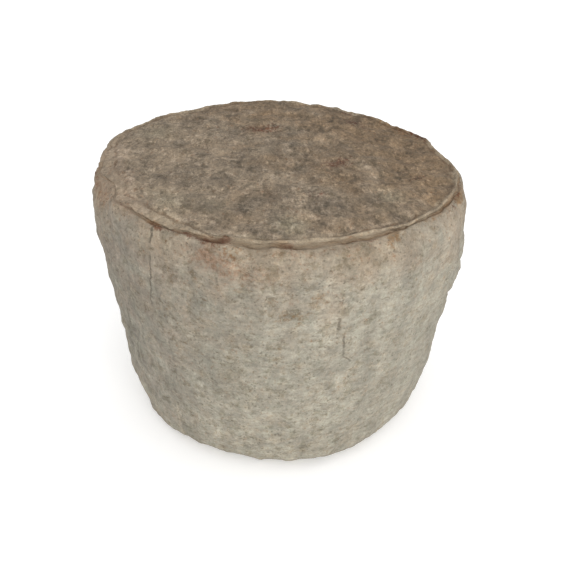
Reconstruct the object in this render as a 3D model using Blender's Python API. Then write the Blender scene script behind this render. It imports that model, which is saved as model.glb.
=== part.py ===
"""A whole, uncut cheese wheel with a natural rind, standing on its smaller face.

Metres, +Z up. The origin is the middle of the foot, on the surface that the wheel stands on.
The wheel is one turned profile, which is then pushed out of round and given its low relief.
"""

from math import atan2, cos, degrees, hypot, pi, sin

import bmesh
import bpy
from mathutils import Vector, noise

# Main sizes
SHOULDER_RADIUS = 0.1102
WHEEL_HEIGHT = 0.1542
SHOULDER_DROP = 0.0176
FOOT_RADIUS = 0.0942
FOOT_ROUNDING = 0.0154
SIDE_BELLY = 0.0026

# The lip that runs round the top edge, and the crease below it
LIP_INNER_RADIUS = 0.1018
LIP_CREST_RADIUS = 0.1031
LIP_OUTER_RADIUS = 0.1042
LIP_RISE = 0.0009
CREASE_RADIUS = 0.1043
CREASE_DROP = 0.0032
SHOULDER_START_RADIUS = 0.1056
SHOULDER_START_DROP = 0.0025

# Where the lip is broader or narrower than elsewhere: bearing and half width in degrees, extra width
LIP_STRETCHES = [
    (203, 38, 0.0055),
    (237, 20, 0.0045),
    (260, 17, -0.0014),
]

# Out of round: for each number of lobes, the cosine and the sine part of the side's shift
LOBES = {2: (-0.0025, 0.0010), 3: (0.0002, -0.0015), 4: (0.0013, -0.0004)}

# The top isn't level, and it sits a little to one side of the foot
TOP_SLOPE = (-0.0291, 0.0180)
RIM_SHIFT = (-0.0026, 0.0019)

# Where the side swells or is dented: bearing in degrees, height, half width in degrees, half height,
# and how far out it goes
UNEVEN_PLACES = [
    (192, 0.150, 26, 0.012, -0.0029),
    (10, 0.151, 14, 0.010, -0.0029),
    (28, 0.152, 18, 0.012, 0.0020),
    (343, 0.138, 24, 0.018, -0.0026),
    (337, 0.111, 26, 0.020, 0.0020),
    (336, 0.088, 22, 0.010, -0.0009),
    (338, 0.060, 24, 0.015, -0.0011),
    (199, 0.122, 24, 0.014, 0.0010),
    (203, 0.066, 28, 0.030, -0.0016),
    (210, 0.027, 20, 0.012, 0.0011),
    (224, 0.009, 26, 0.022, 0.0017),
    (265, 0.007, 20, 0.020, -0.0020),
    (290, 0.008, 26, 0.022, 0.0021),
    (320, 0.009, 24, 0.022, 0.0005),
    (68, 0.120, 24, 0.018, 0.0017),
    (42, 0.084, 22, 0.014, -0.0012),
    (108, 0.062, 28, 0.026, -0.0018),
    (62, 0.028, 24, 0.018, -0.0013),
    (150, 0.102, 22, 0.018, 0.0014),
    (132, 0.011, 26, 0.020, 0.0015),
]
RIM_BAND_START = 0.080
RIM_BAND_END = 0.098

# Low relief of the rind: the width of its lumps and how far they stand out
BROAD_LUMPS = (0.034, 0.0005)
SMALL_LUMPS = (0.015, 0.0007)
RELIEF_MIDDLE = -0.0005
SMOOTH_FOOT_HEIGHT = 0.004

# How finely the wheel is divided
COLUMNS = 120
TOP_RINGS = 11
SHOULDER_RINGS = 6
SIDE_RINGS = 14
FOOT_RINGS = 6
WELD_DISTANCE = 0.00001

RIND_COLOUR = (0.30, 0.25, 0.185, 1.0)
RIND_ROUGHNESS = 0.88


def clear_scene():
    for thing in list(bpy.data.objects):
        bpy.data.objects.remove(thing, do_unlink=True)


def smooth_step(share):
    share = min(max(share, 0.0), 1.0)
    return share * share * (3 - 2 * share)


def bearing_gap(bearing, middle):
    """The smallest turn from middle to bearing, in degrees, from -180 to 180."""
    return (bearing - middle + 180) % 360 - 180


def hump(distance, spread):
    """A smooth hump, 1 at no distance and 0 from spread on."""
    return smooth_step(1 - abs(distance) / spread)


def side_radius(height):
    """The side's radius at a height, from the shoulder down to where its line meets the floor."""
    down = 1 - height / (WHEEL_HEIGHT - SHOULDER_DROP)
    straight = SHOULDER_RADIUS + (FOOT_RADIUS - SHOULDER_RADIUS) * down
    return straight + SIDE_BELLY * 4 * down * (1 - down)


def side_lean(height):
    """How far the side leans in towards the foot at a height, in radians from upright."""
    step = 0.001
    return atan2(side_radius(height + step) - side_radius(height), step)


def top_profile():
    """From the middle of the top out to the foot of the lip."""
    surface = WHEEL_HEIGHT - LIP_RISE
    return [(LIP_INNER_RADIUS * ring / TOP_RINGS, surface) for ring in range(TOP_RINGS + 1)]


def lip_profile():
    """Over the rounded lip and down into the crease."""
    return [
        ((LIP_INNER_RADIUS + LIP_CREST_RADIUS) / 2, WHEEL_HEIGHT - 0.2 * LIP_RISE),
        (LIP_CREST_RADIUS, WHEEL_HEIGHT),
        (LIP_OUTER_RADIUS, WHEEL_HEIGHT - LIP_RISE),
        (CREASE_RADIUS, WHEEL_HEIGHT - CREASE_DROP),
    ]


def shoulder_profile():
    """A quarter of an ellipse, from beside the crease out to the widest ring."""
    reach = SHOULDER_RADIUS - SHOULDER_START_RADIUS
    fall = SHOULDER_DROP - SHOULDER_START_DROP
    points = []
    for ring in range(SHOULDER_RINGS + 1):
        turn = pi / 2 * ring / SHOULDER_RINGS
        radius = SHOULDER_START_RADIUS + reach * sin(turn)
        points.append((radius, WHEEL_HEIGHT - SHOULDER_START_DROP - fall * (1 - cos(turn))))
    return points


def foot_profile():
    """The rounded bottom edge, which runs on from the side's lean and ends flat on the floor."""
    lean = side_lean(FOOT_ROUNDING)
    start = FOOT_ROUNDING * (1 - sin(lean))
    middle_radius = side_radius(start) - FOOT_ROUNDING * cos(lean)
    points = []
    for ring in range(FOOT_RINGS + 1):
        turn = lean + (pi / 2 - lean) * ring / FOOT_RINGS
        points.append((middle_radius + FOOT_ROUNDING * cos(turn), FOOT_ROUNDING * (1 - sin(turn))))
    return points


def side_profile(foot_start):
    """Between the widest ring and the start of the rounded foot, neither of them included."""
    top = WHEEL_HEIGHT - SHOULDER_DROP
    heights = [top + (foot_start - top) * ring / SIDE_RINGS for ring in range(1, SIDE_RINGS)]
    return [(side_radius(height), height) for height in heights]


def wheel_profile():
    foot = foot_profile()
    return top_profile() + lip_profile() + shoulder_profile() + side_profile(foot[0][1]) + foot + [(0.0, 0.0)]


def lobe_factor(turn):
    shift = sum(along * cos(n * turn) + across * sin(n * turn) for n, (along, across) in LOBES.items())
    return 1 + shift / SHOULDER_RADIUS


def lip_shift(radius, bearing):
    """How far the top is drawn in so that the lip gets its width at a bearing. Its crest stays put."""
    if radius >= LIP_CREST_RADIUS:
        return 0.0
    extra = sum(width * hump(bearing_gap(bearing, middle), spread) for middle, spread, width in LIP_STRETCHES)
    return -extra * radius / LIP_CREST_RADIUS


def rim_share(height):
    """1 from the crease up, 0 below the shoulder."""
    share = (height - (WHEEL_HEIGHT - SHOULDER_DROP)) / (SHOULDER_DROP - SHOULDER_START_DROP)
    return smooth_step(share) ** 2


def uneven_shift(radius, height, bearing):
    """How far swells and dents push the side out or in. The middle of the top and foot stay put."""
    out = 0.0
    for middle, level, half_width, half_height, rise in UNEVEN_PLACES:
        aside = bearing_gap(bearing, middle) / half_width
        out += rise * hump(hypot(aside, (height - level) / half_height), 1.0)
    return out * smooth_step((radius - RIM_BAND_START) / (RIM_BAND_END - RIM_BAND_START))


def relief(place):
    """How far the rind stands out of its turned form at a place, in metres."""
    out = RELIEF_MIDDLE
    for width, rise in (BROAD_LUMPS, SMALL_LUMPS):
        out += rise * 2 * noise.noise(place / width)
    return out * smooth_step(place.z / SMOOTH_FOOT_HEIGHT)


def shaped(place, outward):
    """Where a place of the turned form lies on the real wheel."""
    radius = hypot(place.x, place.y)
    turn = atan2(place.y, place.x)
    radius += lip_shift(radius, degrees(turn)) * rim_share(place.z)
    radius *= lobe_factor(turn)
    radius += uneven_shift(radius, place.z, degrees(turn))
    share = rim_share(place.z)
    moved = Vector((
        radius * cos(turn) + RIM_SHIFT[0] * share,
        radius * sin(turn) + RIM_SHIFT[1] * share,
        place.z,
    ))
    moved += outward * relief(place)
    moved.z += (TOP_SLOPE[0] * moved.x + TOP_SLOPE[1] * moved.y) * place.z / WHEEL_HEIGHT
    return moved


def turned_wheel():
    """The profile turned once round the upright axis, as a closed mesh."""
    mesh = bmesh.new()
    points = [mesh.verts.new((radius, 0.0, height)) for radius, height in wheel_profile()]
    edges = [mesh.edges.new(pair) for pair in zip(points, points[1:])]
    bmesh.ops.spin(mesh, geom=points + edges, axis=(0, 0, 1), cent=(0, 0, 0), angle=2 * pi, steps=COLUMNS)
    bmesh.ops.remove_doubles(mesh, verts=mesh.verts, dist=WELD_DISTANCE)
    bmesh.ops.recalc_face_normals(mesh, faces=mesh.faces)
    return mesh


def rind_material():
    material = bpy.data.materials.new("natural_rind")
    material.use_nodes = True
    shader = material.node_tree.nodes["Principled BSDF"]
    shader.inputs["Base Color"].default_value = RIND_COLOUR
    shader.inputs["Roughness"].default_value = RIND_ROUGHNESS
    shader.inputs["Metallic"].default_value = 0.0
    return material


def make_wheel():
    mesh = turned_wheel()
    places = [(vert, shaped(vert.co.copy(), vert.normal.copy())) for vert in mesh.verts]
    for vert, place in places:
        vert.co = place
    across = [[vert.co[axis] for vert in mesh.verts] for axis in (0, 1)]
    middle = [(min(values) + max(values)) / 2 for values in across]
    bmesh.ops.translate(mesh, verts=mesh.verts, vec=(-middle[0], -middle[1], 0.0))
    bmesh.ops.triangulate(mesh, faces=mesh.faces)
    data = bpy.data.meshes.new("cheese_wheel")
    mesh.to_mesh(data)
    mesh.free()
    data.shade_smooth()
    data.materials.append(rind_material())
    wheel = bpy.data.objects.new("cheese_wheel", data)
    bpy.context.scene.collection.objects.link(wheel)
    return wheel


clear_scene()
make_wheel()
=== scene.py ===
"""The looks of a whole cheese wheel with a natural rind.

The rind is one closed mesh over the wheel's solid. It repeats the solid's turned form and its swells,
and adds the finer relief of a rind that dried in cloth: knobs, a crumbling lip, a ragged crease, cracks.
Fields that are worked out with the form, such as the way from the crease, are kept on the mesh, and the
finish reads them. Metres, +Z up. Bearings are in degrees round the wheel: 0 is +X, 270 faces the viewer.
"""

from math import cos, pi, radians, sin

import bpy
import numpy as np
from mathutils import Matrix, Vector, noise


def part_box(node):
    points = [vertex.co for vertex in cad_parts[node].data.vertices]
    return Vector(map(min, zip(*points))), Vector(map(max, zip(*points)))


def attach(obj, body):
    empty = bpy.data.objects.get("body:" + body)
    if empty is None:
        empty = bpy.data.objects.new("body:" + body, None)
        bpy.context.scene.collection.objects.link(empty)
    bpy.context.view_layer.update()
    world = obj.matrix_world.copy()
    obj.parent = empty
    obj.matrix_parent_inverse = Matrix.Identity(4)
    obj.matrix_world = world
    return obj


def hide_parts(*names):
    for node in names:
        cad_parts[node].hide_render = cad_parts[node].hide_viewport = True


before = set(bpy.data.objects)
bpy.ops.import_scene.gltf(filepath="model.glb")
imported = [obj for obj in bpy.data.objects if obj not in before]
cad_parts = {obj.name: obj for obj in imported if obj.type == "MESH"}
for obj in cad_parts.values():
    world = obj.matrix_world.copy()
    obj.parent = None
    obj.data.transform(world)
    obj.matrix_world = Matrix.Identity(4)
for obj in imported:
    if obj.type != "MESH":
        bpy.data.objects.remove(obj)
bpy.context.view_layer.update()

# The turned form, as the solid has it
SHOULDER_RADIUS = 0.1102
WHEEL_HEIGHT = 0.1542
SHOULDER_DROP = 0.0176
FOOT_RADIUS = 0.0942
FOOT_ROUNDING = 0.0154
SIDE_BELLY = 0.0026
LIP_INNER_RADIUS = 0.1018
LIP_CREST_RADIUS = 0.1031
LIP_OUTER_RADIUS = 0.1037
LIP_RISE = 0.0009
CREASE_RADIUS = 0.1043
CREASE_DROP = 0.0032
SHOULDER_START_RADIUS = 0.1056
SHOULDER_START_DROP = 0.0025

# Where the lip is broader or narrower than elsewhere: bearing, half width in degrees, extra width
LIP_STRETCHES = [
    (203, 38, 0.0055),
    (237, 20, 0.0045),
    (260, 17, -0.0014),
    (211, 12, -0.0016),
]

# Where the crease and the lip lie further in than elsewhere: bearing, half width in degrees, how far in
CREASE_BAYS = [
    (210.5, 12, 0.0056),
    (187, 14, 0.0016),
    (227, 7, 0.0009),
    (255, 9, -0.0014),
]

# Out of round: for each number of lobes, the cosine and the sine part of the side's shift
LOBES = {2: (-0.0025, 0.0010), 3: (0.0002, -0.0015), 4: (0.0013, -0.0004)}
TOP_SLOPE = (-0.0291, 0.0180)
RIM_SHIFT = (-0.0026, 0.0019)

# Where the side swells or is dented: bearing, height, half width in degrees, half height, how far out
UNEVEN_PLACES = [
    (192, 0.150, 26, 0.012, -0.0029),
    (10, 0.151, 14, 0.010, -0.0029),
    (28, 0.152, 18, 0.012, 0.0020),
    (343, 0.138, 24, 0.018, -0.0026),
    (337, 0.111, 26, 0.020, 0.0020),
    (336, 0.088, 22, 0.010, -0.0009),
    (338, 0.060, 24, 0.015, -0.0011),
    (199, 0.122, 24, 0.014, 0.0010),
    (203, 0.066, 28, 0.030, -0.0016),
    (210, 0.027, 20, 0.012, 0.0011),
    (224, 0.009, 26, 0.022, 0.0017),
    (265, 0.007, 20, 0.020, -0.0020),
    (290, 0.008, 26, 0.022, 0.0021),
    (320, 0.009, 24, 0.022, 0.0005),
    (68, 0.120, 24, 0.018, 0.0017),
    (42, 0.084, 22, 0.014, -0.0012),
    (108, 0.062, 28, 0.026, -0.0018),
    (62, 0.028, 24, 0.018, -0.0013),
    (150, 0.102, 22, 0.018, 0.0014),
    (132, 0.011, 26, 0.020, 0.0015),
]

# How far from the middle the swells and dents take hold
RIM_BAND_START = 0.080
RIM_BAND_END = 0.098

# The solid is centred on its box after it is shaped, so the rind is moved by the same amount
CENTRING = (-0.000206, -0.001475)

# How finely the rind is divided
TOP_RINGS = 66
COLUMNS = 8 * TOP_RINGS
LIP_RINGS = 9
CREASE_FALL_RINGS = 5
CREASE_RISE_RINGS = 2
SHOULDER_RINGS = 14
SIDE_RINGS = 92
FOOT_RINGS = 13
BASE_RINGS = 5

# Each kind of unevenness: how wide its lumps are, how far they go, and where in the noise they lie
BROAD_LUMPS = (0.034, 0.0005, 0.0)
SMALL_LUMPS = (0.015, 0.0007, 0.0)
KNOBS = (0.0060, 0.00034, 3.1)
CRUMBS = (0.0028, 0.00020, 7.7)
LIP_CRUMBS = (0.0040, 0.00085, 5.3)
LIP_WAVES = (0.0085, 0.00080, 9.1)
CREASE_CRUMBS = (0.0026, 0.00060, 13.7)
CREASE_WANDER = (0.0060, 0.00060, 11.9)
CREASE_FADES = (0.0120, 0.50, 41.3)
COLOUR_DRIFT = (0.028, 1.0, 21.3)
COLOUR_PATCHES = (0.011, 1.0, 17.1)
STAIN_TURN_WANDER = (0.006, 1.6, 31.7)
STAIN_WAY_WANDER = (0.005, 0.0008, 37.9)
NOISE_SKEW = (1.0, 1.7, 2.3)
RELIEF_MIDDLE = -0.0005
SMOOTH_FOOT_HEIGHT = 0.004
SHOULDER_LEAN = 0.35

# The lip crumbles more where it is broad, and less where the rim is rounded
LIP_CRUMB_REACH = 0.003
CRUMBLING_STRETCH = 0.004
CRUMBLING_LEAST = 0.25
CRUMBLING_MORE = 0.60
CRUMBLING_LOSS = 0.55

# The crease: how it falls and fades, and how far from its bottom each part of it reaches
CREASE_FOOT_RADIUS = 0.1050
CREASE_OUT_POWER = 1.3
CREASE_FALL_POWER = 0.8
CREASE_GAP_DEPTH = 0.65
CREASE_CRUMB_REACH = 0.0045
CREASE_WANDER_REACH = 0.004
SHALLOW_CREASE = 0.0013
SHALLOW_MIDDLE = -0.0006
SHALLOW_REACH = 0.0022
LOW_CREASE_MIDDLE = 0.0012
LOW_CREASE_REACH = 0.0055

# Where the lip fades into a broad rounded rim: bearing and half width in degrees, how sharply it
# fades, and the ways from the crease where it starts and ends
ROUNDED_RIM = (198, 36)
ROUNDED_RIM_SHARPNESS = 3
ROUNDED_RIM_REACH = 0.0100
ROUNDED_RIM_END = 0.0008

# Where the crease lies lower than elsewhere: bearing, half width in degrees, how much
CREASE_SINKS = [
    (265, 9, 0.0021),
    (279, 9, 0.0019),
    (293, 11, 0.0009),
]

# Swells and dents that the rind has and the solid hasn't, as above
RIND_PLACES = [
    (193, 0.143, 15, 0.0085, -0.0024),
    (244, 0.004, 56, 0.022, -0.0013),
    (336, 0.101, 20, 0.0070, 0.0018),
    (352, 0.140, 18, 0.018, -0.0016),
    (12, 0.150, 14, 0.012, -0.0012),
]

# Where the crease under the lip is deep and darkened brown: bearing, half width in degrees, how much
CREASE_GAPS = [
    (229, 11, 0.45),
    (243, 12, 0.42),
    (254, 8, 0.75),
    (272, 5, 0.80),
    (264, 6, 0.22),
    (286, 14, 0.34),
    (303, 14, 0.50),
    (326, 16, 0.85),
    (346, 14, 0.65),
    (14, 16, 0.50),
    (47, 14, 0.38),
    (82, 18, 0.40),
    (118, 13, 0.65),
    (149, 15, 0.45),
]

# Coloured places of the rim and side: bearing, way from the crease, half width in degrees, half
# length along the way, strength
RUST_PLACES = [
    (254.0, 0.0006, 7.0, 0.0036, 0.60),
    (256.2, -0.0014, 5.0, 0.0034, 0.72),
    (248.5, 0.0002, 3.0, 0.0030, 0.80),
    (272.4, -0.0006, 3.6, 0.0032, 0.66),
    (275.5, 0.0008, 5.0, 0.0020, 0.45),
    (239.0, 0.0004, 4.0, 0.0030, 0.75),
    (244.0, 0.0004, 9.0, 0.0024, 0.45),
    (226.0, 0.0004, 9.0, 0.0022, 0.45),
    (291.0, 0.0004, 12.0, 0.0020, 0.30),
    (331.0, 0.0020, 8.0, 0.0040, 0.40),
    (337.0, 0.0010, 5.0, 0.0030, 0.55),
    (345.0, 0.0010, 8.0, 0.0030, 0.50),
    (27.0, -0.0040, 12.0, 0.0080, 0.75),
    (61.0, -0.0080, 7.0, 0.0050, 0.65),
    (98.0, 0.0010, 12.0, 0.0040, 0.70),
    (141.0, 0.0004, 12.0, 0.0030, 0.65),
    (199.0, 0.0030, 8.0, 0.0050, 0.55),
]
PINK_PLACES = [
    (291.0, 0.0035, 10.0, 0.0055, 0.42),
    (254.5, 0.0060, 7.0, 0.0070, 0.95),
    (256.0, 0.0125, 5.0, 0.0055, 0.50),
    (250.5, 0.0120, 7.0, 0.0090, 0.45),
    (262.0, 0.0140, 12.0, 0.0130, 0.45),
    (277.0, 0.0030, 12.0, 0.0050, 0.40),
    (206.0, 0.0060, 18.0, 0.0120, 0.55),
    (110.0, 0.0100, 16.0, 0.0120, 0.70),
    (20.0, 0.0120, 14.0, 0.0120, 0.50),
]
OCHRE_PLACES = [
    (237.8, -0.0006, 3.6, 0.0036, 1.20),
    (273.6, 0.0365, 8.0, 0.0060, 0.65),
    (279.5, 0.0280, 5.0, 0.0060, 0.55),
    (259.5, 0.0050, 4.5, 0.0070, 0.60),
    (301.3, 0.0030, 2.6, 0.0060, 0.85),
    (299.6, 0.0066, 2.0, 0.0040, 0.55),
    (303.0, 0.0010, 7.0, 0.0030, 0.45),
    (341.0, 0.0030, 12.0, 0.0065, 1.00),
    (33.0, -0.0080, 18.0, 0.0110, 0.75),
    (318.0, 0.0010, 9.0, 0.0030, 0.70),
    (334.0, 0.0030, 9.0, 0.0060, 0.70),
    (174.0, -0.0020, 5.0, 0.0034, 0.80),
    (196.0, 0.0000, 10.0, 0.0060, 0.45),
    (45.0, -0.0030, 14.0, 0.0060, 0.60),
    (72.0, 0.0200, 12.0, 0.0100, 0.50),
    (140.0, 0.0500, 12.0, 0.0140, 0.40),
]
MOULD_PLACES = [
    (189.7, -0.0069, 2.2, 0.0022, 0.90),
    (194.3, -0.0036, 3.4, 0.0014, 0.80),
    (203.9, -0.0040, 2.2, 0.0022, 0.80),
    (213.4, -0.0040, 1.6, 0.0018, 1.20),
    (214.6, -0.0069, 2.0, 0.0020, 1.00),
    (217.5, -0.0014, 2.4, 0.0014, 1.00),
    (225.0, -0.0084, 2.4, 0.0016, 0.90),
    (209.3, 0.0080, 1.8, 0.0030, 0.80),
    (205.5, 0.0014, 3.0, 0.0020, 0.50),
    (349.5, -0.0022, 4.5, 0.0030, 1.10),
    (286.9, 0.0112, 3.4, 0.0032, 1.40),
    (292.7, 0.0062, 2.2, 0.0060, 1.10),
    (248.0, 0.0560, 8.0, 0.0120, 0.60),
    (257.0, 0.0750, 7.0, 0.0160, 0.75),
    (261.0, 0.0960, 5.0, 0.0080, 0.60),
    (254.0, 0.0930, 5.0, 0.0080, 0.60),
    (262.0, 0.0500, 9.0, 0.0080, 0.50),
    (225.0, 0.0500, 10.0, 0.0200, 0.45),
    (60.0, 0.0600, 12.0, 0.0200, 0.60),
    (160.0, 0.0700, 10.0, 0.0200, 0.60),
    (20.0, 0.0500, 12.0, 0.0260, 0.50),
]

# Lighter and darker places of the side: bearing, way from the crease, half width, half length, change
# Partly painted shade: the broad darkening at the left, about bearing 226, stands in for shade away from
# the lamp; the rest is the rind's own tone.
TONE_AND_SHADE_PLACES = [
    (226, 0.060, 42, 0.120, -0.25),
    (340, 0.060, 24, 0.120, -0.10),
    (296, 0.030, 16, 0.030, 0.06),
    (249, 0.050, 15, 0.090, -0.09),
    (318, 0.020, 14, 0.030, 0.06),
    (270, 0.125, 80, 0.030, 0.08),
    (100, 0.060, 40, 0.110, -0.12),
    (30, 0.050, 30, 0.070, 0.06),
    (160, 0.030, 24, 0.050, 0.05),
    (325, 0.010, 14, 0.012, 0.11),
    (320, 0.106, 11, 0.018, 0.07),
    (266, 0.128, 9, 0.012, -0.12),
    (246, 0.140, 14, 0.014, -0.09),
    (286.9, 0.0112, 2.8, 0.0028, -0.34),
    (292.4, 0.0060, 3.0, 0.0060, -0.14),
]

# Spots of the top: x, y, half width, strength
TOP_PALE_SPOTS = [
    (-0.037, -0.054, 0.011, 0.9),
    (0.051, -0.018, 0.010, 0.8),
    (0.010, 0.030, 0.016, 0.5),
    (-0.010, -0.008, 0.016, 0.4),
    (0.008, -0.046, 0.004, 1.2),
    (0.010, -0.054, 0.005, 2.0),
    (0.010, -0.062, 0.005, 1.8),
    (0.011, -0.070, 0.005, 2.0),
    (0.012, -0.078, 0.006, 1.8),
    (0.013, -0.087, 0.006, 1.6),
    (-0.060, -0.030, 0.020, 0.4),
    (0.030, -0.070, 0.012, 0.5),
    (-0.085, -0.010, 0.012, 0.5),
    (0.066, -0.054, 0.034, 0.7),
    (-0.050, 0.030, 0.014, 0.4),
    (-0.012, -0.012, 0.011, 0.9),
    (-0.088, -0.030, 0.012, 0.9),
    (-0.010, -0.070, 0.012, 0.8),
    (0.078, -0.042, 0.034, 0.5),
]
TOP_DARK_SPOTS = [
    (-0.033, -0.073, 0.013, 1.2),
    (-0.019, 0.043, 0.012, 1.2),
    (0.030, -0.009, 0.011, 0.9),
    (0.004, 0.050, 0.010, 0.6),
    (0.022, -0.064, 0.013, 0.8),
    (0.060, 0.020, 0.016, 0.5),
    (0.000, 0.006, 0.013, 0.5),
    (-0.070, 0.000, 0.010, 0.5),
    (0.046, -0.052, 0.012, 0.6),
    (-0.058, 0.052, 0.012, 0.5),
    (0.050, 0.072, 0.024, 0.9),
    (0.080, 0.040, 0.020, 0.4),
    (0.016, -0.012, 0.012, 0.6),
]
TOP_GREEN_SPOTS = [
    (-0.062, -0.072, 0.022, 0.8),
    (0.004, -0.088, 0.016, 0.8),
    (0.056, -0.050, 0.014, 0.6),
    (-0.080, 0.030, 0.020, 0.5),
]
TOP_RUST_SPOTS = [
    (0.030, -0.010, 0.014, 0.86),
    (0.036, 0.000, 0.010, 0.50),
    (-0.020, 0.044, 0.014, 0.68),
    (-0.008, 0.050, 0.013, 0.58),
    (0.046, 0.071, 0.012, 0.66),
    (0.018, -0.052, 0.012, 0.42),
    (0.077, -0.023, 0.010, 0.45),
    (0.052, 0.062, 0.012, 0.35),
]
TOP_MOULD_SPOTS = [
    (-0.033, -0.069, 0.014, 1.20),
    (-0.046, -0.062, 0.010, 0.50),
    (-0.012, 0.010, 0.010, 0.40),
    (0.050, -0.066, 0.012, 0.45),
    (-0.020, 0.062, 0.012, 0.45),
    (-0.066, 0.012, 0.010, 0.45),
    (0.020, 0.024, 0.010, 0.40),
]


def smooth_step(share):
    share = np.clip(share, 0.0, 1.0)
    return share * share * (3 - 2 * share)


def bearing_gap(bearing, middle):
    """The smallest turn from middle to bearing, in degrees, from -180 to 180."""
    return (bearing - middle + 180) % 360 - 180


def hump(distance, spread):
    """A smooth hump, 1 at no distance and 0 from spread on."""
    return smooth_step(1 - np.abs(distance) / spread)


def around(bearing, middle, spread):
    """A smooth hump over the bearings, 1 at the middle and 0 from spread on."""
    return hump(bearing_gap(bearing, middle), spread)


def rim_sum(stretches, bearing):
    """The sum of a hump over each stretch of the rim: bearing, half width in degrees, amount."""
    return sum(amount * around(bearing, middle, spread) for middle, spread, amount in stretches)


def side_sum(spots, bearing, level):
    """The sum of a hump over each spot of the side, placed by bearing and by height or way."""
    total = np.zeros(len(level))
    for middle, middle_level, half_width, half_length, amount in spots:
        across = bearing_gap(bearing, middle) / half_width
        total += amount * hump(np.hypot(across, (level - middle_level) / half_length), 1.0)
    return total


def top_sum(spots, x, y):
    """The sum of a hump over each spot of the top."""
    total = 0.0
    for spot_x, spot_y, half_width, amount in spots:
        total = total + amount * hump(np.hypot(x - spot_x, y - spot_y), half_width)
    return total


def lumps(places, kind):
    """Smooth unevenness of a kind, for each of the places."""
    width, rise, seed = kind
    shift = Vector([skew * seed for skew in NOISE_SKEW])
    return rise * np.array([2 * noise.noise(Vector(place) / width + shift) for place in places])


# The turned form

def side_radius(height):
    down = 1 - height / (WHEEL_HEIGHT - SHOULDER_DROP)
    return SHOULDER_RADIUS + (FOOT_RADIUS - SHOULDER_RADIUS) * down + SIDE_BELLY * 4 * down * (1 - down)


def side_lean(height):
    """How far the side leans in towards the foot at a height, in radians from upright."""
    step = 0.001
    return np.arctan2(side_radius(height + step) - side_radius(height), step)


def shares(count):
    """Even shares of a stretch, without its start and with its end."""
    return np.arange(1, count + 1) / count


def lip_profile():
    """From the lip's inner foot over its crest to its outer edge."""
    radius = LIP_INNER_RADIUS + (LIP_OUTER_RADIUS - LIP_INNER_RADIUS) * shares(LIP_RINGS)
    inner = np.clip((radius - LIP_INNER_RADIUS) / (LIP_CREST_RADIUS - LIP_INNER_RADIUS), 0, 1)
    outer = np.clip((radius - LIP_CREST_RADIUS) / (LIP_OUTER_RADIUS - LIP_CREST_RADIUS), 0, 1)
    rise = LIP_RISE * (1 - (1 - inner) ** 2 - outer ** 2)
    return radius, WHEEL_HEIGHT - LIP_RISE + rise


def crease_profile():
    """Down the lip's outer face into the crease, and up to where the shoulder starts."""
    ring = np.arange(1, CREASE_FALL_RINGS + CREASE_RISE_RINGS + 1)
    down = np.minimum(ring / CREASE_FALL_RINGS, 1)
    up = np.clip((ring - CREASE_FALL_RINGS) / CREASE_RISE_RINGS, 0, 1)
    radius = LIP_OUTER_RADIUS + (CREASE_FOOT_RADIUS - LIP_OUTER_RADIUS) * down ** CREASE_OUT_POWER
    radius = radius + (SHOULDER_START_RADIUS - CREASE_FOOT_RADIUS) * up
    drop = LIP_RISE + (CREASE_DROP - LIP_RISE) * down ** CREASE_FALL_POWER
    drop = drop + (SHOULDER_START_DROP - CREASE_DROP) * smooth_step(up)
    return radius, WHEEL_HEIGHT - drop


def shoulder_profile():
    """A quarter of an ellipse, from beside the crease out to the widest ring."""
    turn = pi / 2 * shares(SHOULDER_RINGS)
    reach = SHOULDER_RADIUS - SHOULDER_START_RADIUS
    fall = SHOULDER_DROP - SHOULDER_START_DROP
    radius = SHOULDER_START_RADIUS + reach * np.sin(turn)
    return radius, WHEEL_HEIGHT - SHOULDER_START_DROP - fall * (1 - np.cos(turn))


def foot_profile():
    """The rounded bottom edge, which runs on from the side's lean and ends flat on the floor."""
    lean = side_lean(FOOT_ROUNDING)
    start = FOOT_ROUNDING * (1 - sin(lean))
    middle_radius = side_radius(start) - FOOT_ROUNDING * cos(lean)
    turn = lean + (pi / 2 - lean) * shares(FOOT_RINGS)
    return middle_radius + FOOT_ROUNDING * np.cos(turn), FOOT_ROUNDING * (1 - np.sin(turn))


def side_profile():
    """From the widest ring down to the start of the rounded foot."""
    top = WHEEL_HEIGHT - SHOULDER_DROP
    bottom = FOOT_ROUNDING * (1 - sin(side_lean(FOOT_ROUNDING)))
    height = top + (bottom - top) * shares(SIDE_RINGS)
    return side_radius(height), height


def base_profile(reach):
    """In over the flat foot, almost to its middle."""
    share = 1 - np.arange(1, BASE_RINGS + 1) / (BASE_RINGS + 0.5)
    return reach * share, np.zeros(BASE_RINGS)


def rim_to_foot():
    """Radius, height and way from the crease for each ring outside the flat top."""
    foot = foot_profile()
    stretches = [lip_profile(), crease_profile(), shoulder_profile(), side_profile(), foot]
    stretches.append(base_profile(foot[0][-1]))
    radius = np.concatenate([stretch[0] for stretch in stretches])
    height = np.concatenate([stretch[1] for stretch in stretches])
    steps = np.hypot(np.diff(radius), np.diff(height))
    way = np.concatenate([[0.0], np.cumsum(steps)])
    crease = LIP_RINGS + CREASE_FALL_RINGS - 1
    return radius, height, way - way[crease]


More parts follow.
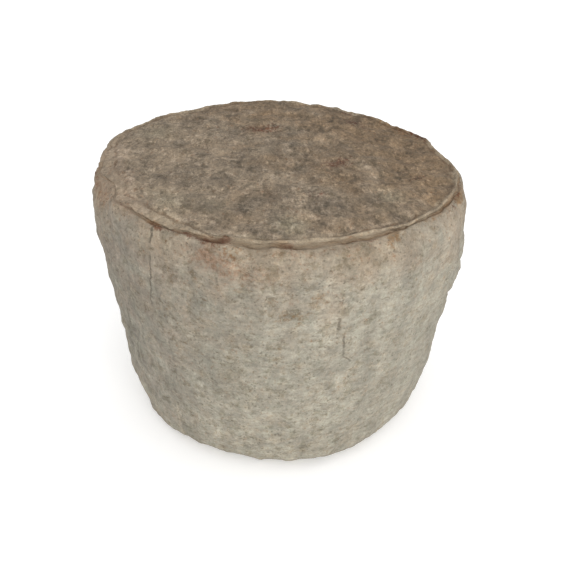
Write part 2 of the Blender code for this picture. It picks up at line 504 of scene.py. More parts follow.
def top_disc():
    """A square grid drawn out to a disc, so that each square ring of it becomes a circle.

    Gives each point's radius and turn, the grid's faces, and the points of its edge in order of turn.
    """
    steps = np.arange(-TOP_RINGS, TOP_RINGS + 1)
    across, along = (axis.ravel() for axis in np.meshgrid(steps, steps))
    ring = np.maximum(np.abs(across), np.abs(along))
    sideways = np.abs(across) >= np.abs(along)
    longer = np.where(sideways, across, along)
    ratio = np.where(sideways, along, across) / np.where(ring == 0, 1, longer)
    turn = np.where(sideways, pi / 4 * ratio, pi / 2 - pi / 4 * ratio)
    turn = turn + pi * np.where(sideways, across < 0, along < 0)
    size = len(steps)
    corner = (np.arange(size - 1)[:, None] * size + np.arange(size - 1)).ravel()
    faces = np.stack([corner, corner + 1, corner + size + 1, corner + size], axis=1)
    edge = np.flatnonzero(ring == TOP_RINGS)
    edge = edge[np.argsort(turn[edge] % (2 * pi))]
    return ring / TOP_RINGS * LIP_INNER_RADIUS, turn % (2 * pi), faces, edge


def turned_wheel():
    """The turned form: for each point its radius, height, turn and way, and the faces."""
    disc_radius, disc_turn, disc_faces, edge = top_disc()
    ring_radius, ring_height, ring_way = rim_to_foot()
    count = len(ring_radius)
    disc_height = np.full(len(disc_radius), WHEEL_HEIGHT - LIP_RISE)
    disc_way = ring_way[0] - (ring_radius[0] - LIP_INNER_RADIUS) - LIP_INNER_RADIUS + disc_radius
    radius = np.concatenate([disc_radius, np.repeat(ring_radius, COLUMNS), [0.0]])
    height = np.concatenate([disc_height, np.repeat(ring_height, COLUMNS), [0.0]])
    turn = np.concatenate([disc_turn, np.tile(disc_turn[edge], count), [0.0]])
    way = np.concatenate([disc_way, np.repeat(ring_way, COLUMNS), ring_way[-1:]])
    outside = len(disc_radius) + np.arange(count * COLUMNS).reshape(count, COLUMNS)
    rings = np.vstack([edge, outside])
    onward = np.roll(rings, -1, axis=1)
    walls = np.stack([rings[:-1], rings[1:], onward[1:], onward[:-1]], axis=-1).reshape(-1, 4)
    middle = len(radius) - 1
    fan = [(int(a), middle, int(b)) for a, b in zip(rings[-1], onward[-1])]
    return radius, height, turn, way, disc_faces.tolist() + walls.tolist() + fan


# From the turned form to the real one

def lobe_factor(turn):
    shift = 0.0
    for lobes, (along, across) in LOBES.items():
        shift = shift + (along * np.cos(lobes * turn) + across * np.sin(lobes * turn))
    return 1 + shift / SHOULDER_RADIUS


def rim_share(height):
    """1 from the crease up, 0 below the shoulder."""
    share = (height - (WHEEL_HEIGHT - SHOULDER_DROP)) / (SHOULDER_DROP - SHOULDER_START_DROP)
    return smooth_step(share) ** 2


def crease_bay(radius, height, bearing):
    """How far in the crease is drawn at a bearing, with the top inside it and less of the shoulder."""
    return rim_sum(CREASE_BAYS, bearing) * np.minimum(radius / CREASE_RADIUS, 1) * rim_share(height)


def crease_gap(bearing):
    """How deep the crease is cut at a bearing, from 0 to 1."""
    return np.clip(rim_sum(CREASE_GAPS, bearing), 0, 1)


def rim_fade(bearing):
    """1 where the lip fades into a rounded rim, 0 elsewhere."""
    return np.clip(ROUNDED_RIM_SHARPNESS * around(bearing, *ROUNDED_RIM), 0, 1)


def rounded_height(height, way, bearing):
    """The heights with the lip and the crease smoothed away where they fade into a rounded rim."""
    over = smooth_step(1 + way / ROUNDED_RIM_REACH)
    rounded = WHEEL_HEIGHT - LIP_RISE - (SHOULDER_START_DROP - LIP_RISE) * over
    return height + (rounded - height) * rim_fade(bearing) * (way < ROUNDED_RIM_END)


def uneven_shift(radius, height, bearing):
    """How far swells and dents push the side out or in. The middle of the top and foot stay put."""
    out = side_sum(UNEVEN_PLACES + RIND_PLACES, bearing, height)
    return out * smooth_step((radius - RIM_BAND_START) / (RIM_BAND_END - RIM_BAND_START))


def outward_lean(radius, height):
    """How far up the rind faces, from 0 on the upright side to 1 on the top, and -1 below the foot."""
    over = smooth_step((height - (WHEEL_HEIGHT - SHOULDER_DROP)) / (SHOULDER_DROP - SHOULDER_START_DROP))
    under = smooth_step(1 - height / FOOT_ROUNDING)
    return over * (1 - SHOULDER_LEAN * (radius > LIP_OUTER_RADIUS)) - under


def relief(places, way, bearing, foot_share):
    """How far the rind stands out of its turned form."""
    out = RELIEF_MIDDLE + sum(lumps(places, kind) for kind in (BROAD_LUMPS, SMALL_LUMPS))
    fine = lumps(places, KNOBS) + lumps(places, CRUMBS)
    stretch = rim_sum(LIP_STRETCHES, bearing)
    lip_width = LIP_CREST_RADIUS - LIP_INNER_RADIUS + np.maximum(stretch, 0)
    on_lip = hump(way + lip_width, lip_width + LIP_CRUMB_REACH)
    crumbling = smooth_step(stretch / CRUMBLING_STRETCH) * CRUMBLING_MORE + CRUMBLING_LEAST
    crumbling = crumbling * (1 - CRUMBLING_LOSS * rim_fade(bearing))
    lip = lumps(places, LIP_CRUMBS) + lumps(places, LIP_WAVES)
    by_crease = lumps(places, CREASE_CRUMBS) * hump(way, CREASE_CRUMB_REACH)
    return (out + fine + by_crease + on_lip * crumbling * lip) * foot_share


def crease_shift(places, way, bearing):
    """How far up the rind is moved where the crease is shallow, and down where it lies lower."""
    depth = np.clip(CREASE_GAP_DEPTH * crease_gap(bearing) + lumps(places, CREASE_FADES), 0, 1)
    filled = SHALLOW_CREASE * (1 - depth) * (1 - rim_fade(bearing))
    sunk = rim_sum(CREASE_SINKS, bearing) * hump(way - LOW_CREASE_MIDDLE, LOW_CREASE_REACH)
    return filled * hump(way - SHALLOW_MIDDLE, SHALLOW_REACH) - sunk


def shaped(radius, height, turn, way):
    """Where each point of the turned form lies on the real wheel."""
    bearing = np.degrees(turn)
    height = rounded_height(height, way, bearing)
    flat = np.stack([radius * np.cos(turn), radius * np.sin(turn), height], axis=1)
    share = rim_share(height)
    stretch = rim_sum(LIP_STRETCHES, bearing) * radius / LIP_CREST_RADIUS * share
    out = radius - np.where(radius < LIP_CREST_RADIUS, stretch, 0) - crease_bay(radius, height, bearing)
    wander = lumps(flat, CREASE_WANDER) * hump(way, CREASE_WANDER_REACH)
    out = out * lobe_factor(turn) + uneven_shift(out, height, bearing) + wander
    rise = relief(flat, way, bearing, smooth_step(height / SMOOTH_FOOT_HEIGHT))
    up = outward_lean(radius, height)
    sideways = rise * np.sqrt(1 - np.minimum(up ** 2, 1))
    x = (out + sideways) * np.cos(turn) + RIM_SHIFT[0] * share
    y = (out + sideways) * np.sin(turn) + RIM_SHIFT[1] * share
    z = height + rise * up + crease_shift(flat, way, bearing)
    z = z + (TOP_SLOPE[0] * x + TOP_SLOPE[1] * y) * z / WHEEL_HEIGHT
    return np.stack([x + CENTRING[0], y + CENTRING[1], z], axis=1)


# The colours that belong to a place, painted on the points of the rind

SIDE_COOL = (0.313, 0.287, 0.228)
SIDE_WARM = (0.300, 0.250, 0.188)
SIDE_GREY = (0.246, 0.212, 0.172)
TOP_GREY = (0.212, 0.165, 0.114)
TOP_BROWN = (0.184, 0.126, 0.073)
TOP_GREEN = (0.205, 0.176, 0.120)
LIP_CREAM = (0.305, 0.246, 0.172)
SIDE_TAN = (0.300, 0.240, 0.168)
RIM_TAN = (0.288, 0.222, 0.158)

# Broad changes of the ground colour, as bearing and half width in degrees, and ways from the crease
WARM_REACH = 0.045
WARM_STRETCHES = [(228, 62, 0.045), (85, 60, 0.03)]
GREY_STRETCH = (222, 40)
GREY_SHARE = 0.45
TAN_BAND = (0.006, 0.016)
TAN_BAND_GAP = (320, 30)
RIM_BAND = (-0.0035, 0.0145)
RIM_BAND_STRETCH = (202, 46)
BROAD_LIP_STRETCH = (250, 75)
PALE_EDGE_STRETCH = (240, 80)
PALE_EDGE_START = 0.070
PALE_EDGE_WIDTH = 0.028
# Painted light: the lip's outer face is made paler, to make up for the shade it gets in the crease.
LIP_FACE_PAINTED_LIGHT = (-0.0022, 0.0022)

# How the top turns from grey to brown: its share in the middle, and how it grows along x and y
BROWN_MIDDLE = 0.42
BROWN_SLOPE = (6.5, 4.0)

# Where the rind is streaky, and where it is calm, as on the lip
STREAKY_STRETCH = (222, 32)
STREAKY_WAY = 0.03
CALM_STRETCH = (330, 55)
CALM_SIDE_WAY = 0.002
CALM_LIP = 1.5
CALM_LIP_START = -0.0095
CALM_LIP_WIDTH = 0.0045
TOP_STAIN_WAY = -0.004


def blend(first, second, share):
    return first + (np.asarray(second) - first) * share[:, None]


def side_ground(way, bearing, drift, patches):
    """Warm below the rim and cooler further down, grey at the left, with a tan band under the rim."""
    warm_reach = WARM_REACH + rim_sum(WARM_STRETCHES, bearing)
    warmth = smooth_step(1 - way / warm_reach + 0.30 * drift + 0.22 * patches)
    side = blend(np.asarray(SIDE_COOL), SIDE_WARM, warmth)
    # Partly painted shade: the tone places darken the left, away from the lamp.
    side = side * (1 + side_sum(TONE_AND_SHADE_PLACES, bearing, way) + 0.035 * drift)[:, None]
    greyness = around(bearing, *GREY_STRETCH) * smooth_step(0.5 + 0.8 * patches)
    side = blend(side, SIDE_GREY, GREY_SHARE * greyness)
    middle, reach = TAN_BAND
    tan_band = 0.8 * hump(way - middle, reach) * (0.6 + 0.4 * drift) * (1 - around(bearing, *TAN_BAND_GAP))
    return blend(side, SIDE_TAN, np.clip(tan_band, 0, 1))


def top_ground(x, y, radius, bearing, drift, patches):
    """Grey at the near left and brown at the far right, with green, pale and dark spots."""
    brownness = BROWN_MIDDLE + BROWN_SLOPE[0] * x + BROWN_SLOPE[1] * y + 0.25 * drift + 0.20 * patches
    top = blend(np.asarray(TOP_GREY), TOP_BROWN, smooth_step(brownness))
    top = blend(top, TOP_GREEN, np.clip(top_sum(TOP_GREEN_SPOTS, x, y), 0, 1))
    edge = smooth_step((radius - PALE_EDGE_START) / PALE_EDGE_WIDTH) * around(bearing, *PALE_EDGE_STRETCH)
    tone = 0.16 * top_sum(TOP_PALE_SPOTS, x, y) - 0.15 * top_sum(TOP_DARK_SPOTS, x, y) + 0.10 * edge
    return top * (1 + tone)[:, None]


def ground_colour(places, radius, way, bearing):
    """The colour under the fine mottling."""
    drift = lumps(places, COLOUR_DRIFT)
    patches = lumps(places, COLOUR_PATCHES)
    side = side_ground(way, bearing, drift, patches)
    top = top_ground(places[:, 0], places[:, 1], radius, bearing, drift, patches)

    broad = around(bearing, *BROAD_LIP_STRETCH)
    lip_foot = LIP_INNER_RADIUS - 0.0010 - 0.0040 * broad - 0.0016 * patches
    on_lip = smooth_step((radius - lip_foot) / (0.0012 + 0.0030 * broad)) * smooth_step(-way / 0.0008)
    on_side = smooth_step((way + 0.0006) / 0.0012)
    cream = on_lip * (1 - on_side) * (0.72 + 0.28 * patches)
    colour = blend(blend(top, side, on_side), LIP_CREAM, cream)

    middle, reach = RIM_BAND
    tan = 2.2 * around(bearing, *RIM_BAND_STRETCH) * hump(way - middle + 0.003 * patches, reach)
    # Painted light: the lip's outer face is made paler, against the shade of the crease.
    middle, reach = LIP_FACE_PAINTED_LIGHT
    painted_light = 0.16 * hump(way - middle, reach) * (1 - rim_fade(bearing))
    return blend(colour, RIM_TAN, np.clip(tan, 0, 0.9)) * (1 + painted_light)[:, None]


def add_field(data, name, values):
    field = data.attributes.new(name, "FLOAT", "POINT")
    field.data.foreach_set("value", np.asarray(values, np.float32))


def paint(data, places, radius, turn, way):
    """Keeps on the points what the finish reads: the ways, where the rind is calm, stains, colour."""
    bearing = np.degrees(turn)
    add_field(data, "way", way)
    add_field(data, "lip_way", np.where(way < 0, radius - LIP_INNER_RADIUS, 1.0))
    add_field(data, "crease_darkening", crease_gap(bearing) * (1 - rim_fade(bearing)))
    add_field(data, "fibre", around(bearing, *STREAKY_STRETCH) * smooth_step(way / STREAKY_WAY))
    calm_side = around(bearing, *CALM_STRETCH) * (way > CALM_SIDE_WAY)
    calm_lip = smooth_step((way - CALM_LIP_START) / CALM_LIP_WIDTH) * (way < CALM_SIDE_WAY)
    add_field(data, "calm", calm_side + CALM_LIP * calm_lip)

    stains = (
        ("rust", RUST_PLACES, TOP_RUST_SPOTS),
        ("pink", PINK_PLACES, []),
        ("ochre", OCHRE_PLACES, []),
        ("mould", MOULD_PLACES, TOP_MOULD_SPOTS),
    )
    ragged_bearing = bearing + lumps(places, STAIN_TURN_WANDER)
    ragged_way = way + lumps(places, STAIN_WAY_WANDER)
    for name, spots, top_spots in stains:
        amount = side_sum(spots, ragged_bearing, ragged_way)
        on_top = (way < TOP_STAIN_WAY) * top_sum(top_spots, places[:, 0], places[:, 1])
        add_field(data, name, np.clip(amount + on_top, 0, 1))

    ground = data.attributes.new("ground", "FLOAT_COLOR", "POINT")
    colours = np.ones((len(way), 4), np.float32)
    colours[:, :3] = ground_colour(places, radius, way, bearing)
    ground.data.foreach_set("color", colours.ravel())


def make_rind():
    radius, height, turn, way, faces = turned_wheel()
    places = shaped(radius, height, turn, way)
    lowest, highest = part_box("cheese_wheel")
    places = np.clip(places, lowest, highest)
    data = bpy.data.meshes.new("rind")
    data.from_pydata(places.tolist(), [], faces)
    data.update()
    data.shade_smooth()
    paint(data, places, radius, turn, way)
    rind = bpy.data.objects.new("rind", data)
    bpy.context.scene.collection.objects.link(rind)
    return rind


# The finish

class Value:
    """A socket of a finish, which takes part in sums as a number does."""

    def __init__(self, finish, socket):
        self.finish = finish
        self.socket = socket

    def __add__(self, other):
        return self.finish.sum("ADD", self, other)

    def __sub__(self, other):
        return self.finish.sum("SUBTRACT", self, other)

    def __rsub__(self, other):
        return self.finish.sum("SUBTRACT", other, self)

    def __mul__(self, other):
        return self.finish.sum("MULTIPLY", self, other)

    def __truediv__(self, other):
        return self.finish.sum("DIVIDE", self, other)

    __radd__ = __add__
    __rmul__ = __mul__


class Finish:
    """A material while its nodes are being laid out."""

    def __init__(self, name, roughness):
        self.material = bpy.data.materials.new(name)
        self.material.use_nodes = True
        self.tree = self.material.node_tree
        self.shader = self.tree.nodes["Principled BSDF"]
        self.shader.inputs["Roughness"].default_value = roughness

    def feed(self, socket, value):
        if isinstance(value, Value):
            self.tree.links.new(value.socket, socket)
        else:
            socket.default_value = value

    def node(self, kind, settings, values, output=0):
        """Adds a node. Its settings are set before what its sockets take."""
        node = self.tree.nodes.new(kind)
        for name, setting in settings.items():
            setattr(node, name, setting)
        for name, value in values.items():
            self.feed(node.inputs[name], value)
        return Value(self, node.outputs[output])

    def sum(self, operation, *values):
        return self.node("ShaderNodeMath", {"operation": operation}, dict(enumerate(values)))

    def vector(self, operation, *values):
        return self.node("ShaderNodeVectorMath", {"operation": operation}, dict(enumerate(values)))

    def mix(self, share, first, second, how="MIX"):
        """Mixes two colours, given as linear red, green, blue."""
        values = {0: share}
        for index, colour in ((6, first), (7, second)):
            values[index] = colour if isinstance(colour, Value) else (*colour, 1.0)
        return self.node("ShaderNodeMix", {"data_type": "RGBA", "blend_type": how}, values, output=2)

    def tinted(self, share, colour, tint):
        """The colour multiplied by a tint, as far as the share goes."""
        return self.mix(share, colour, tint, "MULTIPLY")

    def step(self, value, start, end):
        """0 before start and 1 after end, smoothly between them. Start may be the larger one."""
        limits = {"Value": value, "From Min": start, "From Max": end}
        return self.node("ShaderNodeMapRange", {"interpolation_type": "SMOOTHSTEP"}, limits)

    def field(self, name):
        return self.node("ShaderNodeAttribute", {"attribute_name": name}, {}, output=2)

    def scaled(self, colour, share):
        """A colour times a value."""
        return self.node("ShaderNodeVectorMath", {"operation": "SCALE"}, {0: colour, 3: share})

    def specks(self, place, spacing, size, share):
        """Scattered specks: how far apart and how large, and the share of places that has one."""
        distance = self.node("ShaderNodeTexVoronoi", {}, {"Vector": place, "Scale": 1 / spacing})
        picks = Value(self, distance.socket.node.outputs[1])
        pick = self.node("ShaderNodeSeparateColor", {}, {0: picks})
        inside = self.step(distance, size / spacing, 0.3 * size / spacing)
        return inside * self.step(pick + share, 0.97, 1.03)

    def mottle(self, place, width, detail=2.0, roughness=0.5):
        """Cloudy unevenness with clouds of about this width, in metres, from 0 to 1."""
        values = {"Vector": place, "Scale": 1 / width, "Detail": detail, "Roughness": roughness}
        return self.node("ShaderNodeTexNoise", {}, values)


# Cracks of the side: bearing and height where each starts, the same where it ends, its width, strength
CRACKS = [
    ((237.1, 0.1515), (236.9, 0.1420), 0.0011, 1.00),
    ((237.0, 0.1400), (235.9, 0.1250), 0.0009, 0.75),
    ((236.0, 0.1270), (234.9, 0.1050), 0.0009, 0.95),
    ((234.6, 0.1010), (234.4, 0.0820), 0.0008, 0.35),
    ((236.5, 0.0620), (234.8, 0.0150), 0.0008, 0.35),
    ((255.3, 0.1425), (255.3, 0.1290), 0.0009, 0.45),
    ((284.8, 0.1130), (284.7, 0.1045), 0.0012, 1.00),
    ((286.4, 0.1020), (287.5, 0.0860), 0.0010, 0.95),
    ((287.4, 0.0870), (290.0, 0.0815), 0.0010, 0.95),
    ((241.0, 0.0300), (240.2, 0.0180), 0.0009, 0.35),
]
CRACK_RADIUS = 0.110
CRACK_WANDER = 0.0034

# Tints that the colour is multiplied by. Where there are two, they are the side's and the top's.
WARM_TINT = (1.030, 0.990, 0.950)
COOL_TINT = (0.980, 1.005, 1.000)
BARE_TINTS = ((0.78, 0.76, 0.705), (0.645, 0.635, 0.600))
PALE_TINTS = ((1.14, 1.145, 1.155), (1.38, 1.405, 1.475))
SCUFF_TINTS = ((0.74, 0.72, 0.67), (0.80, 0.79, 0.77))
PINK_TINT = (0.87, 0.69, 0.61)
OCHRE_TINT = (0.74, 0.57, 0.40)
RUST_TINT = (0.52, 0.325, 0.265)
CREASE_HALO_TINT = (0.90, 0.79, 0.68)
CREASE_CORE_TINT = (0.82, 0.74, 0.68)
# Painted shade: the thin dark line at the lip's inner foot, where the lip rises from the top.
LIP_FOOT_SHADE_TINT = (0.66, 0.60, 0.54)
FLECK_TINT = (1.35, 1.34, 1.33)

# Colours that cover the rind
MOULD_DOT_COLOUR = (0.105, 0.086, 0.056)
MOULD_COLOUR = (0.165, 0.142, 0.096)
# Painted shade: the dark colour of the cracks stands in for the shade inside the narrow splits.
CRACK_SHADE_COLOUR = (0.130, 0.108, 0.074)

# How the noise is drawn out along x, y and z: the smaller the number, the longer the marks
CRACK_DRAWING = (0.4, 0.4, 1.0)
SCUFF_DRAWING = (0.55, 0.55, 1.0)
STROKE_DRAWING = (0.30, 0.30, 1.0)
FOLD_DRAWING = (1.0, 1.0, 0.10)
STREAK_DRAWING = (1.0, 1.0, 0.22)

# Where in the noise each layer is taken from, so that one layer doesn't repeat the next
LAYER_SHIFTS = {
    "hue": (0.31, 0.17, 0.23),
    "bare": (0.9, 0.4, 0.7),
    "pale": (0.5, 0.6, 0.1),
    "scuffs": (0.2, 0.8, 0.3),
    "streaks": (0.7, 0.3, 0.5),
    "patches": (0.6, 0.1, 0.9),
    "crumbs": (0.4, 0.9, 0.2),
    "flecks": (0.2, 0.7, 0.4),
}

# The relief that the bump adds, and how far specks stray from their grid
BUMP_STRENGTH = 0.9
BUMP_HEIGHT = 0.0006
SPECK_WANDER_SCALE = 400.0
SPECK_WANDER = (0.0022, 0.0022, 0.0022)


def crack_lines(rind, place):
    """Thin lines where the rind has split, as the sum over the cracks; the finish paints them dark as
    shade inside the splits.
    """
    x, y, height = (rind.node("ShaderNodeSeparateXYZ", {}, {0: place}, output=axis) for axis in range(3))
    bearing = rind.sum("ARCTAN2", y, x)
    wander = rind.mottle(rind.vector("MULTIPLY", place, CRACK_DRAWING), width=0.0036, detail=3)
    wander = wander * CRACK_WANDER - CRACK_WANDER / 2
    lines = 0.0
    for (start, start_height), (end, end_height), width, strength in CRACKS:
        down = (start_height - height) / (start_height - end_height)
        middle = radians(start - 360) + down * radians(end - start)
        across = rind.sum("ABSOLUTE", (bearing - middle) * CRACK_RADIUS + wander)
        ends = rind.step(down, -0.05, 0.15) * rind.step(down, 1.05, 0.80)
        lines = rind.step(across, width, 0.1 * width) * ends * strength + lines
    return lines


def aside(rind, place, layer):
    """The same place in the part of the noise that a layer is taken from."""
    return rind.vector("ADD", place, LAYER_SHIFTS[layer])


def mottled(rind, place, on_top, colour):
    """Soft patches of mould and of bare rind, from broad to fine."""
    busy = 1.0 - rind.field("calm") * 0.35
    clouds = rind.mottle(place, width=0.0150, detail=5, roughness=0.9)
    colour = rind.scaled(colour, (clouds - 0.5) * (on_top * 1.75 + 1.45) * busy + 1.0)

    hue = rind.mottle(aside(rind, place, "hue"), width=0.0075, detail=4, roughness=0.75)
    much = 1.0 - on_top * 0.8
    colour = rind.tinted(rind.step(hue, 0.50, 0.64) * much, colour, WARM_TINT)
    colour = rind.tinted(rind.step(hue, 0.50, 0.36) * much, colour, COOL_TINT)

    bare = rind.mottle(aside(rind, place, "bare"), width=0.0062, detail=5, roughness=0.75)
    colour = rind.tinted(rind.step(bare, 0.53, 0.61) * busy, colour, rind.mix(on_top, *BARE_TINTS))
    pale = rind.mottle(aside(rind, place, "pale"), width=0.0042, detail=4, roughness=0.70)
    colour = rind.tinted(rind.step(pale, 0.54, 0.60) * busy, colour, rind.mix(on_top, *PALE_TINTS))

    level = rind.vector("MULTIPLY", aside(rind, place, "scuffs"), SCUFF_DRAWING)
    scuffs = rind.mottle(level, width=0.0024, detail=4, roughness=0.75)
    return rind.tinted(rind.step(scuffs, 0.55, 0.64) * busy, colour, rind.mix(on_top, *SCUFF_TINTS))


def cloth_marked(rind, place, on_top, colour):
    """The print of the cloth on the side: short level strokes, and streaks and folds that run down."""
    on_side = 1.0 - on_top
    fibre = rind.field("fibre")
    drawn = rind.vector("MULTIPLY", place, STROKE_DRAWING)
    strokes = rind.mottle(drawn, width=0.0026, detail=3, roughness=0.7)
    colour = rind.scaled(colour, (strokes - 0.5) * on_side * (0.80 - fibre * 0.60) + 1.0)
    drawn = rind.vector("MULTIPLY", aside(rind, place, "streaks"), STREAK_DRAWING)
    streaks = rind.mottle(drawn, width=0.0034, detail=3)
    colour = rind.scaled(colour, (streaks - 0.5) * (fibre * 0.75 + 0.10) * on_side + 1.0)
    drawn = rind.vector("MULTIPLY", place, FOLD_DRAWING)
    folds = rind.mottle(drawn, width=0.0120, detail=3, roughness=0.6)
    return rind.scaled(colour, (folds - 0.5) * on_side * 0.60 + 1.0), strokes


def stained(rind, ragged, crumbly, colour):
    """The stains that belong to a place: pinkish brown, ochre and rusty red."""
    edge = ragged * 1.3 + crumbly * 1.6
    pink = rind.step(rind.field("pink") + edge * 1.3, 0.05, 1.10)
    colour = rind.tinted(pink, colour, PINK_TINT)
    ochre = rind.step(rind.field("ochre") + edge * 1.4, 0.12, 1.15)
    colour = rind.tinted(ochre, colour, OCHRE_TINT)
    rusty = rind.field("rust")
    near = rind.step(rusty, 0.02, 0.22)
    rust = rind.step(rusty + (ragged * 1.3 + crumbly * 2.6) * near, 0.20, 1.00)
    return rind.tinted(rust, colour, RUST_TINT)


def creased(rind, ragged, crumbly, patches, colour):
    """Brown darkening along the crease under the lip, and painted shade: a thin broken line at the lip's
    inner foot.
    """
    darkening = rind.sum("MAXIMUM", rind.field("crease_darkening") + (patches - 0.5) * 2.4, 0.0)
    way = rind.field("way")
    from_face = rind.sum("ABSOLUTE", way + ragged * 0.0060 + 0.0008)
    halo = rind.step(from_face, darkening * 0.0040 + 0.0006, 0.0003)
    halo = halo * rind.sum("MINIMUM", darkening * 0.90 + 0.20, 1.0)
    colour = rind.tinted(halo, colour, CREASE_HALO_TINT)
    from_crease = rind.sum("ABSOLUTE", way + ragged * 0.0070 + crumbly * 0.0080 - 0.0003)
    core = rind.step(from_crease, darkening * 0.0020 + 0.0004, darkening * 0.0004)
    core = core * rind.sum("MINIMUM", darkening * 0.90 + 0.12, 1.0)
    colour = rind.tinted(core, colour, CREASE_CORE_TINT)
    # Painted shade along the lip's inner foot.
    from_lip_foot = rind.sum("ABSOLUTE", rind.field("lip_way") + ragged * 0.0050 + 0.0010)
    foot_shade = rind.step(from_lip_foot, 0.0016, 0.0003) * (rind.step(patches, 0.36, 0.52) * 0.65 + 0.35)
    return rind.tinted(foot_shade, colour, LIP_FOOT_SHADE_TINT)


def speckled(rind, place, on_top, ragged, patches, colour):
    """Clusters of dark mould dots, soft mould where it belongs to a place, and pale flecks."""
    warp_values = {"Vector": place, "Scale": SPECK_WANDER_SCALE, "Detail": 2.0}
    warp = rind.node("ShaderNodeTexNoise", {}, warp_values, output=1)
    warped = rind.vector("MULTIPLY_ADD", warp, SPECK_WANDER, place)
    mould = rind.field("mould")
    cluster = rind.step(patches, 0.46, 0.60) * 0.34 + mould * 0.50 + 0.08
    dots = rind.specks(warped, spacing=0.0017, size=0.0008, share=cluster)
    colour = rind.mix(dots * 0.56, colour, MOULD_DOT_COLOUR)
    colour = rind.mix(mould * rind.step(ragged, -0.16, 0.10) * 0.52, colour, MOULD_COLOUR)
    flecks = rind.specks(aside(rind, warped, "flecks"), spacing=0.0020, size=0.0009, share=0.22)
    return rind.tinted(flecks * (on_top * 0.25 + 0.30), colour, FLECK_TINT), dots, flecks


# Painted shade: the splits are darkened where the bump cuts their grooves.
def cracked(rind, place, crumbly, patches, colour):
    cracks = crack_lines(rind, place)
    cracks = rind.sum("MINIMUM", cracks * (rind.step(patches, 0.38, 0.56) * 0.35 + 0.65), 1.0)
    cracks = cracks * (rind.step(crumbly, -0.09, 0.03) * 0.60 + 0.40)
    return rind.mix(cracks, colour, CRACK_SHADE_COLOUR), cracks


def rind_finish():
    rind = Finish("natural_rind", roughness=0.86)
    place = rind.node("ShaderNodeTexCoord", {}, {}, output=3)
    on_top = rind.step(rind.field("way"), 0.001, -0.003)
    stretch = rind.node("ShaderNodeCombineXYZ", {}, {0: 1.0, 1: 1.0 - on_top * 0.4, 2: 1.0})
    place = rind.vector("MULTIPLY", place, stretch)
    ragged = rind.mottle(place, width=0.0034, detail=4, roughness=0.75) - 0.5
    patches = rind.mottle(aside(rind, place, "patches"), width=0.0090, detail=2)
    crumbly = rind.mottle(aside(rind, place, "crumbs"), width=0.0018, detail=3, roughness=0.7) - 0.5
    grain = rind.mottle(place, width=0.0016, detail=3, roughness=0.85)

    ground = rind.node("ShaderNodeAttribute", {"attribute_name": "ground"}, {})
    colour = mottled(rind, place, on_top, ground)
    colour, strokes = cloth_marked(rind, place, on_top, colour)
    colour = stained(rind, ragged, crumbly, colour)
    colour = creased(rind, ragged, crumbly, patches, colour)
    colour, dots, flecks = speckled(rind, place, on_top, ragged, patches, colour)
    colour, cracks = cracked(rind, place, crumbly, patches, colour)
    colour = rind.scaled(colour, (grain - 0.5) * (on_top * 0.7 + 0.75) + 1.0)
    rind.feed(rind.shader.inputs["Base Color"], colour)

    height = grain * 0.8 + ragged * 0.8 + strokes * 0.5 - dots * 0.2 - cracks * 1.2 + flecks * 0.2
    bump = {"Strength": BUMP_STRENGTH, "Distance": BUMP_HEIGHT, "Height": height}
    rind.feed(rind.shader.inputs["Normal"], rind.node("ShaderNodeBump", {}, bump))
    return rind.material


# The room

CAMERA_RISE = 30.13
CAMERA_ROLL = 1.16
CAMERA_DISTANCE = 0.407
AIM_HEIGHT = 0.0771
FOCAL_PIXELS = 628.7
PICTURE_SIZE = 586
SENSOR_WIDTH = 36.0
AIM_PIXEL = (280.78, 267.98)
WHITE = (1.0, 1.0, 1.0, 1.0)
FLOOR_REACH = 40.0
PAPER_COLOUR = (0.93, 0.93, 0.93, 1.0)
PAPER_GLOW = 0.24
ROOM_BRIGHTNESS = 0.65
KEY_PLACE = (0.5, -1.3, 0.6)
KEY_SIZE = 0.8
KEY_POWER = 7.0
OVERHEAD_TURN = (12, 0, 20)
OVERHEAD_SPREAD = 80
OVERHEAD_POWER = 1.05


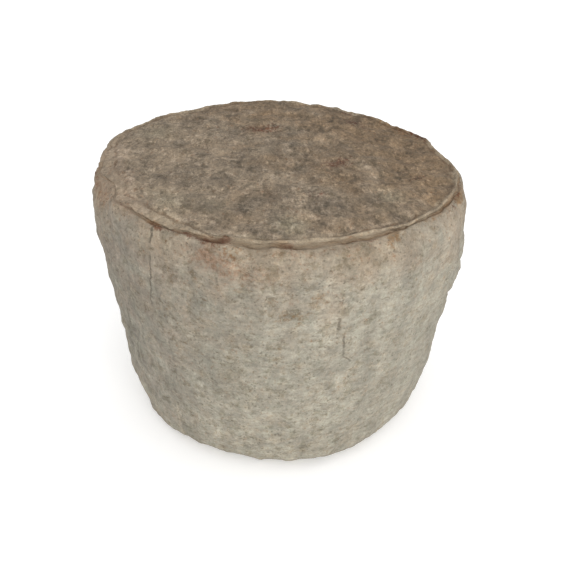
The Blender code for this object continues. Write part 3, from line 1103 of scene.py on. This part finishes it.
def make_floor():
    data = bpy.data.meshes.new("floor")
    corners = [(-1, -1), (1, -1), (1, 1), (-1, 1)]
    data.from_pydata([(FLOOR_REACH * x, FLOOR_REACH * y, 0) for x, y in corners], [], [(0, 1, 2, 3)])
    floor = bpy.data.objects.new("floor", data)
    bpy.context.scene.collection.objects.link(floor)
    paper = Finish("white_paper", roughness=0.9)
    paper.feed(paper.shader.inputs["Base Color"], PAPER_COLOUR)
    paper.feed(paper.shader.inputs["Emission Color"], WHITE)
    paper.feed(paper.shader.inputs["Emission Strength"], PAPER_GLOW)
    data.materials.append(paper.material)


def make_camera():
    rise = radians(CAMERA_RISE)
    away = Vector((0, -cos(rise), sin(rise)))
    data = bpy.data.cameras.new("camera")
    data.sensor_width = SENSOR_WIDTH
    data.lens = FOCAL_PIXELS / PICTURE_SIZE * SENSOR_WIDTH
    data.shift_x = (PICTURE_SIZE / 2 - AIM_PIXEL[0]) / PICTURE_SIZE
    data.shift_y = (AIM_PIXEL[1] - PICTURE_SIZE / 2) / PICTURE_SIZE
    data.clip_start = 0.01
    camera = bpy.data.objects.new("camera", data)
    facing = away.to_track_quat("Z", "Y").to_matrix().to_4x4()
    roll = Matrix.Rotation(radians(CAMERA_ROLL), 4, "Z")
    place = Vector((0, 0, AIM_HEIGHT)) + away * CAMERA_DISTANCE
    camera.matrix_world = Matrix.Translation(place) @ facing @ roll
    bpy.context.scene.collection.objects.link(camera)
    bpy.context.scene.camera = camera


def add_light(name, kind, power):
    data = bpy.data.lights.new(name, kind)
    data.energy = power
    light = bpy.data.objects.new(name, data)
    bpy.context.scene.collection.objects.link(light)
    return light


def light_room():
    """A pale room, a square soft lamp that faces the wheel, and soft light from above."""
    world = bpy.data.worlds.new("studio")
    world.use_nodes = True
    background = world.node_tree.nodes["Background"]
    background.inputs["Color"].default_value = WHITE
    background.inputs["Strength"].default_value = ROOM_BRIGHTNESS
    bpy.context.scene.world = world
    key = add_light("key", "AREA", KEY_POWER)
    key.data.size = KEY_SIZE
    key.location = KEY_PLACE
    to_lamp = Vector(KEY_PLACE) - Vector((0, 0, AIM_HEIGHT))
    key.rotation_euler = to_lamp.to_track_quat("Z", "Y").to_euler()
    overhead = add_light("overhead", "SUN", OVERHEAD_POWER)
    overhead.data.angle = radians(OVERHEAD_SPREAD)
    overhead.rotation_euler = [radians(turn) for turn in OVERHEAD_TURN]
    bpy.context.scene.view_settings.view_transform = "Standard"


make_camera()
rind = make_rind()
rind.data.materials.append(rind_finish())
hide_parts("cheese_wheel")
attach(rind, "root")
make_floor()
light_room()
